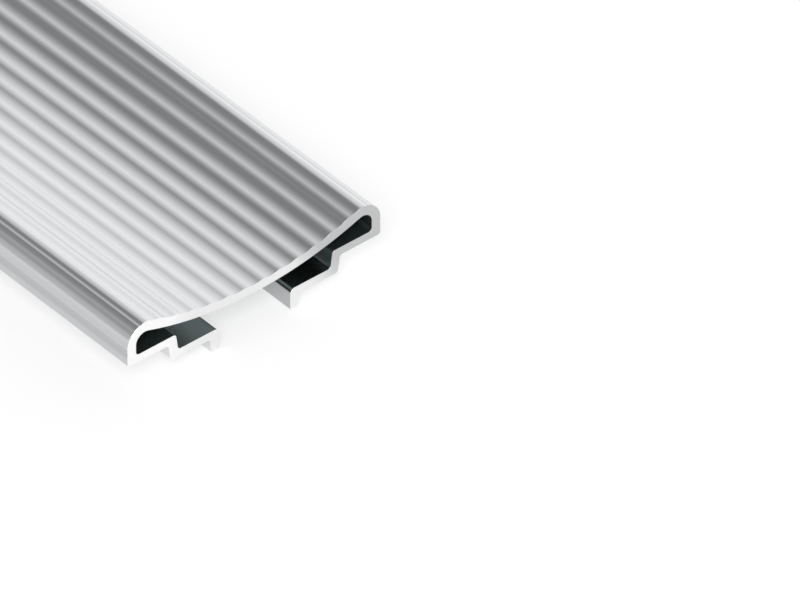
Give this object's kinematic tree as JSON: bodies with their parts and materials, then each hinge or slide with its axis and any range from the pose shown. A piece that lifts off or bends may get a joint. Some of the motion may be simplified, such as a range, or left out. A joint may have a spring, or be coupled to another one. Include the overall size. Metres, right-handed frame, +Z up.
{
  "type": "aluminium extrusion profile",
  "caption": "Straight aluminium rail profile with a dished, fluted face, rounded edges and an open clamp channel behind it between stepped flanges that end in lips.",
  "frame": {"origin": "middle of the stock's length and width, at the level of the lips' lower faces, on which it lies", "axes": "+X across the face, +Y along the extrusion, +Z up from the lips to the fluted face"},
  "size_m": [0.1, 1, 0.0255],
  "materials": {
    "aluminium": "satin mill finish with fine die lines along the length and square saw-cut ends"
  },
  "bodies": {
    "root": {"extruded_profile": "aluminium"}
  },
  "joints": []
}
